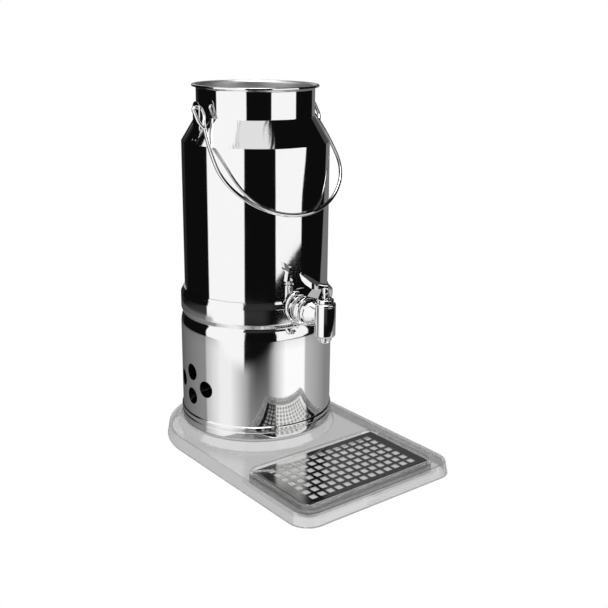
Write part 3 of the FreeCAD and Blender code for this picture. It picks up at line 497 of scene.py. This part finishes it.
def clear_plastic():
    """Clear moulded plastic with faint haze and fine scratches; where the stand covers it, a near-black
    diffuse as painted shade.
    """
    material, graph, shader, place = surface("clear_plastic")
    haze = graph.noise(place, 30.0, 3.0)
    scratches = graph.noise(graph.stretch(place, (40.0, 900.0, 200.0)), 1.0, 1.0)
    shader.inputs["Transmission Weight"].default_value = 1.0
    shader.inputs["IOR"].default_value = 1.42
    graph.feed(
        shader.inputs["Base Color"],
        graph.mix_colour(haze, (0.985, 0.985, 0.985, 1.0), (0.94, 0.945, 0.945, 1.0)),
    )
    graph.feed(shader.inputs["Roughness"], graph.add(0.015, graph.times(haze, 0.02)))
    relief = graph.add(haze, graph.times(scratches, 0.05))
    graph.feed(shader.inputs["Normal"], graph.bump(relief, 0.6, 0.00012))
    clear = graph.node("ShaderNodeBsdfTransparent")
    mirrored = graph.node("ShaderNodeLightPath").outputs["Is Glossy Ray"]
    graph.feed(
        clear.inputs["Color"],
        graph.mix_colour(mirrored, (0.93, 0.932, 0.932, 1.0), (0.62, 0.62, 0.62, 1.0)),
    )
    both = graph.node("ShaderNodeMixShader")
    both.inputs[0].default_value = 0.5
    graph.tree.links.new(shader.outputs[0], both.inputs[1])
    graph.tree.links.new(clear.outputs[0], both.inputs[2])
    radius = graph.length(graph.stretch(place, (1.0, 1.0, 0.0)))
    up = graph.dot(graph.node("ShaderNodeNewGeometry").outputs["True Normal"], UP)
    height = graph.dot(place, UP)
    # Painted shade: the boss top inside the stand is a near-black diffuse instead of clear plastic, standing
    # in for the stand's shadow.
    painted_shade_under_stand = graph.times(
        graph.inverse(graph.step(radius, BOSS_RADIUS, 0.0004)),
        graph.step(up, 0.5, 0.1),
        graph.step(height, BOSS_TOP, 0.0003),
    )
    shade = graph.node("ShaderNodeBsdfDiffuse")
    graph.feed(shade.inputs["Color"], (0.01, 0.01, 0.01, 1.0))
    last = graph.node("ShaderNodeMixShader")
    graph.feed(last.inputs[0], painted_shade_under_stand)
    graph.tree.links.new(both.outputs[0], last.inputs[1])
    graph.tree.links.new(shade.outputs[0], last.inputs[2])
    for node in graph.tree.nodes:
        if node.bl_idname == "ShaderNodeOutputMaterial":
            graph.feed(node.inputs["Surface"], last.outputs[0])
    return material


def silicone():
    material, graph, shader, place = surface("silicone")
    cloud = graph.noise(place, 160.0, 3.0)
    graph.feed(
        shader.inputs["Base Color"],
        graph.mix_colour(cloud, (0.78, 0.78, 0.76, 1.0), (0.66, 0.66, 0.64, 1.0)),
    )
    graph.feed(shader.inputs["Roughness"], graph.add(0.4, graph.times(cloud, 0.2)))
    graph.feed(shader.inputs["Normal"], graph.bump(cloud, 0.5, 0.0002))
    shader.inputs["Subsurface Weight"].default_value = 0.2
    shader.inputs["Subsurface Scale"].default_value = 0.002
    return material


def dress_cad_nodes():
    """Gives every CAD node the material of its slot, and the stand and the can their own."""
    makers = {
        "polished_steel": polished_steel,
        "chrome_plate": chrome_plate,
        "satin_steel": satin_steel,
        "clear_plastic": clear_plastic,
        "silicone": silicone,
        "stand_steel": stand_steel,
        "can_steel": can_steel,
    }
    special = {"stand_shell": "stand_steel", "can": "can_steel"}
    packed = {}
    for name, node in nodes.items():
        packed[name] = node.material_slots[0].material.name.split(".")[0]
    for index, old in enumerate(bpy.data.materials):
        old.name = "packed_%02d" % index
    made = {}
    for name, node in nodes.items():
        kind = special.get(name, packed[name])
        if kind not in made:
            made[kind] = makers[kind]()
        for material_slot in node.material_slots:
            material_slot.material = made[kind]
    return made


# ---------------------------------------------------------------- small pieces that are only looks


def weld_mesh(name, side, centre):
    """A low dome on the cone of the can, sunk a little into the foot of the ear."""
    lean = math.atan2(CONE_RUN, CONE_RISE)
    out = Vector((side * math.cos(lean), 0.0, math.sin(lean)))
    along = Vector((-side * math.sin(lean), 0.0, math.cos(lean)))
    sideways = Vector((0.0, 1.0, 0.0))
    verts = [centre + out * WELD_PROFILE[0][1]]
    for radius, height in WELD_PROFILE[1:]:
        for corner in range(WELD_CORNERS):
            angle = math.tau * corner / WELD_CORNERS
            flat = along * radius * math.cos(angle) + sideways * radius * math.sin(angle)
            verts.append(centre + out * height + flat)
    faces = []
    for corner in range(WELD_CORNERS):
        following = (corner + 1) % WELD_CORNERS
        faces.append((0, 1 + corner, 1 + following))
        for ring in range(len(WELD_PROFILE) - 2):
            inner = 1 + ring * WELD_CORNERS
            outer = inner + WELD_CORNERS
            faces.append((inner + corner, outer + corner, outer + following, inner + following))
    mesh = bpy.data.meshes.new(name)
    mesh.from_pydata(verts, [], faces)
    for polygon in mesh.polygons:
        polygon.use_smooth = True
    return mesh


def weld_spots(made):
    """Two pressed weld spots on the foot of each ear."""
    for side, name in ((1, "right_ear"), (-1, "left_ear")):
        low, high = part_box(name)
        outer = high.x if side > 0 else -low.x
        for number, across in enumerate((-WELD_OFFSET, WELD_OFFSET)):
            centre = Vector((side * (outer - WELD_INSET), AXIS.y + across, low.z + WELD_HEIGHT))
            mesh = weld_mesh(name + "_weld", side, centre)
            spot = bpy.data.objects.new("%s_weld_%d" % (name, number + 1), mesh)
            bpy.context.scene.collection.objects.link(spot)
            mesh.materials.append(made["polished_steel"])
            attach(spot, "can")


def squashed_spring():
    """The return spring, which stands on the stem: a copy of its mesh, carried by the stem in place of the
    hidden CAD node.
    """
    coil = bpy.data.objects.new("return_coil", nodes["return_spring"].data.copy())
    bpy.context.scene.collection.objects.link(coil)
    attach(coil, "stem")
    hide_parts("return_spring")
    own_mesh(coil)


# ---------------------------------------------------------------- camera


def build_camera():
    back = TOWARDS_CAMERA * math.cos(CAMERA_ELEVATION) + UP * math.sin(CAMERA_ELEVATION)
    level_up = back.cross(CAMERA_RIGHT)
    right = CAMERA_RIGHT * math.cos(CAMERA_ROLL) + level_up * math.sin(CAMERA_ROLL)
    up = level_up * math.cos(CAMERA_ROLL) - CAMERA_RIGHT * math.sin(CAMERA_ROLL)
    data = bpy.data.cameras.new("camera")
    data.lens = LENS
    data.sensor_width = SENSOR_WIDTH
    camera = bpy.data.objects.new("camera", data)
    bpy.context.scene.collection.objects.link(camera)
    place = AXIS + back * CAMERA_DISTANCE + right * CAMERA_SHIFT_RIGHT + up * CAMERA_SHIFT_UP
    turn = Matrix((right, up, back)).transposed().to_4x4()
    camera.matrix_world = Matrix.Translation(place) @ turn
    bpy.context.scene.camera = camera


build_world()
build_table()
made_materials = dress_cad_nodes()
weld_spots(made_materials)
squashed_spring()
build_camera()
bpy.context.scene.view_settings.view_transform = "Standard"
